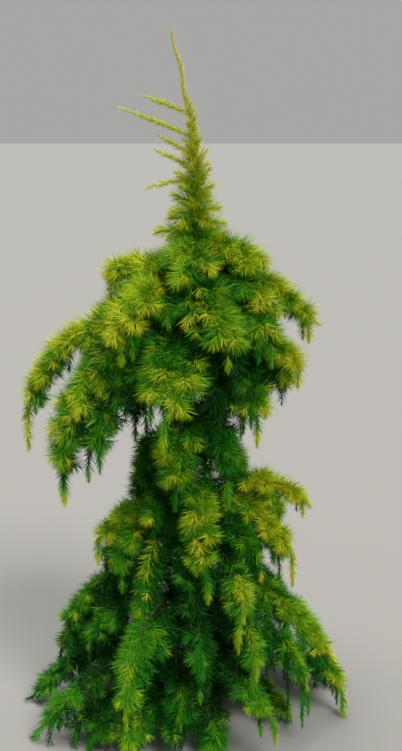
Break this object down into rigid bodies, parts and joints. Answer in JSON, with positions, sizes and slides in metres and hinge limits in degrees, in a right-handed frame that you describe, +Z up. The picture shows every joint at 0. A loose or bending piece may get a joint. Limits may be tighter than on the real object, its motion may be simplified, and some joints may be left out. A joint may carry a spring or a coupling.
{
  "type": "deodar cedar tree",
  "caption": "Young golden deodar cedar rooted in open ground: a bent, thinly clothed leader above tiers of arching boughs that weep to the ground, drawn in at a narrow waist.",
  "frame": {"origin": "middle of the flat cut under the trunk, at ground level", "axes": "+Z up along the trunk; -Y is the side that the picture shows, and +X is to its right"},
  "size_m": [0.8952, 0.8413, 1.8],
  "materials": {
    "bark": "rough grey-brown bark",
    "shoot": "smooth pale young stems",
    "needles_gold": "golden young needles",
    "needles_lime": "yellow-green needles",
    "needles_green": "green needles",
    "needles_deep": "deep green shaded needles"
  },
  "bodies": {
    "root": {"bough_back_left": "bark", "bough_back_right": "bark", "bough_back_skirt_middle": "bark", "bough_far_left": "bark", "bough_front_dome": "bark", "bough_left_shoulder": "bark", "bough_right_sweep": "bark", "bough_right_wide": "bark", "bough_upper_right": "bark", "foliage_back_high": "needles_gold", "foliage_back_left": "needles_lime", "foliage_back_lower_left": "needles_green", "foliage_back_lower_right": "needles_lime", "foliage_back_middle": "needles_lime", "foliage_back_right": "needles_lime", "foliage_back_skirt_left": "needles_deep", "foliage_back_skirt_middle": "needles_green", "foliage_back_skirt_right": "needles_green", "foliage_back_waist": "needles_deep", "foliage_collar_back": "needles_gold", "foliage_collar_front": "needles_gold", "foliage_far_left": "needles_gold", "foliage_front_column": "needles_gold", "foliage_front_dome": "needles_green", "foliage_front_fall": "needles_gold", "foliage_front_high": "needles_gold", "foliage_front_inner": "needles_deep", "foliage_front_left_dome": "needles_gold", "foliage_front_low": "needles_gold", "foliage_front_right_fall": "needles_lime", "foliage_front_right_low": "needles_green", "foliage_front_right_middle": "needles_lime", "foliage_front_shade": "needles_lime", "foliage_front_skirt": "needles_deep", "foliage_front_upper": "needles_gold", "foliage_front_waist": "needles_lime", "foliage_leader_left": "needles_gold", "foliage_leader_right": "needles_gold", "foliage_left_curtain": "needles_lime", "foliage_left_fall": "needles_lime", "foliage_left_low": "needles_green", "foliage_left_lowest": "needles_green", "foliage_left_middle": "needles_green", "foliage_left_shoulder": "needles_lime", "foliage_left_wide": "needles_lime", "foliage_right_fall": "needles_lime", "foliage_right_front": "needles_gold", "foliage_right_high": "needles_gold", "foliage_right_inner": "needles_lime", "foliage_right_outer": "needles_gold", "foliage_right_second": "needles_lime", "foliage_right_shoulder": "needles_gold", "foliage_right_sweep": "needles_lime", "foliage_right_top": "needles_gold", "foliage_right_wide": "needles_gold", "foliage_upper_left": "needles_gold", "foliage_upper_right": "needles_gold", "foliage_waist_fall": "needles_lime", "foliage_waist_left": "needles_deep", "trunk": "bark"}
  },
  "joints": []
}
